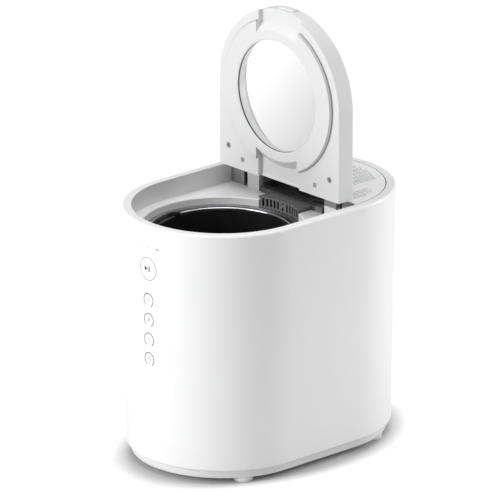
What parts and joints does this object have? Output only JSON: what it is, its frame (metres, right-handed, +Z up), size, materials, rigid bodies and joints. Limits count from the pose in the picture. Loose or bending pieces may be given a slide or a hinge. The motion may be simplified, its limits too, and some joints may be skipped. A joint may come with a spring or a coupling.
{
  "type": "electric food waste composter",
  "caption": "Countertop electric food waste composter: obround housing, lift-out bucket with stirring rotor, hinged windowed lid, top filter cover.",
  "frame": {"origin": "middle of the footprint, on the surface the composter stands on", "axes": "+X to the right seen from the front, -Y to the front with the touch marks, +Z up"},
  "size_m": [0.24, 0.356, 0.5319],
  "materials": {
    "shell_white": "satin white moulding",
    "deck_white": "fine white moulding",
    "lid_white": "satin white moulding",
    "tray_grey": "light grey moulding",
    "rubber_dark": "soft dark grey",
    "rubber_light": "soft light grey",
    "collar_grey": "dark grey moulding",
    "glass_clear": "clear",
    "liner_metal": "satin",
    "bucket_black": "non-stick coat",
    "steel": "brushed",
    "chrome": "polished",
    "bronze": "sintered",
    "gearbox_metal": "cast",
    "board_green": "solder mask",
    "insulation": "glass wool",
    "black_plastic": "black moulding",
    "filter_dark": "filter case"
  },
  "bodies": {
    "root": {"outer_shell": "shell_white", "base_tray": "tray_grey", "foot_pads": "rubber_light", "top_deck": "deck_white", "vent_collar": "collar_grey", "hinge_posts": "deck_white", "hinge_pins": "steel", "chamber_liner": "liner_metal", "heater_plate": "liner_metal", "insulation_jacket": "insulation", "gearbox": "gearbox_metal", "shaft_bearing": "steel", "drive_motor": "steel", "filter_bay": "black_plastic", "fan_housing": "black_plastic", "fan_motor": "black_plastic", "touch_carrier": "black_plastic", "control_board": "board_green", "power_board": "board_green", "mains_inlet": "black_plastic", "inlet_pins": "bronze", "base_screws": "steel"},
    "lid": {"lid_tray": "lid_white", "lid_cover": "lid_white", "window_outer": "glass_clear", "window_inner": "glass_clear", "window_gasket": "rubber_dark", "lid_seal": "rubber_light", "lid_screws": "steel", "lid_magnets": "steel", "hinge_arms": "steel"},
    "catch": {"lid_catch": "lid_white"},
    "bucket": {"bucket": "bucket_black", "bucket_bush": "bronze", "fixed_blades": "steel"},
    "bail": {"bucket_bail": "chrome"},
    "rotor": {"rotor": "steel"},
    "drive": {"drive_shaft": "steel"},
    "fan": {"fan_wheel": "black_plastic"},
    "cover": {"rear_cover": "shell_white"},
    "filter": {"filter_canister": "filter_dark"}
  },
  "joints": [
    {"name": "lid_hinge", "type": "hinge", "parent": "root", "child": "lid", "pos_m": [0, 0.05535, 0.31265], "axis": [-1, 0, 0], "range_deg": [-90, 0]},
    {"name": "catch_press", "type": "slide", "parent": "lid", "child": "catch", "axis": [0, 0, -1], "range_m": [0, 0.0025], "stiffness_N_per_m": 400, "springref_m": -0.002},
    {"name": "bucket_lift", "type": "slide", "parent": "root", "child": "bucket", "axis": [0, 0, 1], "range_m": [0, 0.235]},
    {"name": "bail_swing", "type": "hinge", "parent": "bucket", "child": "bail", "pos_m": [0, -0.058, 0.2776], "axis": [1, 0, 0], "range_deg": [0, 180]},
    {"name": "rotor_spin", "type": "hinge", "parent": "bucket", "child": "rotor", "pos_m": [0, -0.058, 0.07], "axis": [0, 0, 1], "continuous": true},
    {"name": "drive_spin", "type": "hinge", "parent": "root", "child": "drive", "pos_m": [0, -0.058, 0.04], "axis": [0, 0, 1], "continuous": true},
    {"name": "fan_spin", "type": "hinge", "parent": "root", "child": "fan", "pos_m": [0, 0.117, 0.17], "axis": [0, 0, 1], "continuous": true},
    {"name": "cover_lift", "type": "slide", "parent": "root", "child": "cover", "axis": [0, 0, 1], "range_m": [0, 0.15]},
    {"name": "filter_twist", "type": "hinge", "parent": "cover", "child": "filter", "pos_m": [0, 0.117, 0.3], "axis": [0, 0, 1], "range_deg": [0, 60]}
  ],
  "couplings": [
    {"joint": "drive_spin", "follows": "rotor_spin", "ratio": 1}
  ]
}
